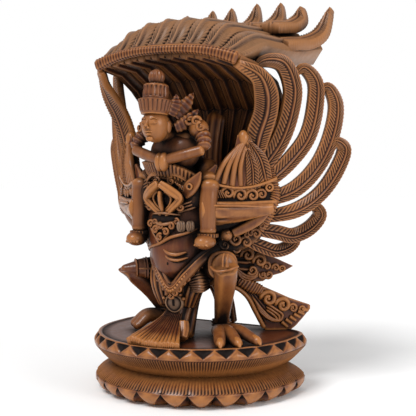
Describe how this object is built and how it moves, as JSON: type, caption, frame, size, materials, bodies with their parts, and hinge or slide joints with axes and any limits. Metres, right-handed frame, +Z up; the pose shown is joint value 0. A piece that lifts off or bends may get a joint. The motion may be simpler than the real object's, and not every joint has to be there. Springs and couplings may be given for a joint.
{
  "type": "vishnu on garuda carving",
  "caption": "Wood carving of a crowned god riding a winged bird-man under the hood of its raised tail, carved from one block with its double lotus plinth; stands on a flat underside",
  "frame": {"origin": "middle of the plinth's flat underside, on the surface that it stands on", "axes": "+Z up, the figures face -Y, +X is the figures' left"},
  "size_m": [0.2122, 0.1576, 0.3005],
  "materials": {
    "carved_wood": "oiled reddish-brown tropical hardwood, near black in the recesses and worn to golden orange on the high edges"
  },
  "bodies": {
    "root": {"vishnu_on_garuda_carving": "carved_wood"}
  },
  "joints": []
}
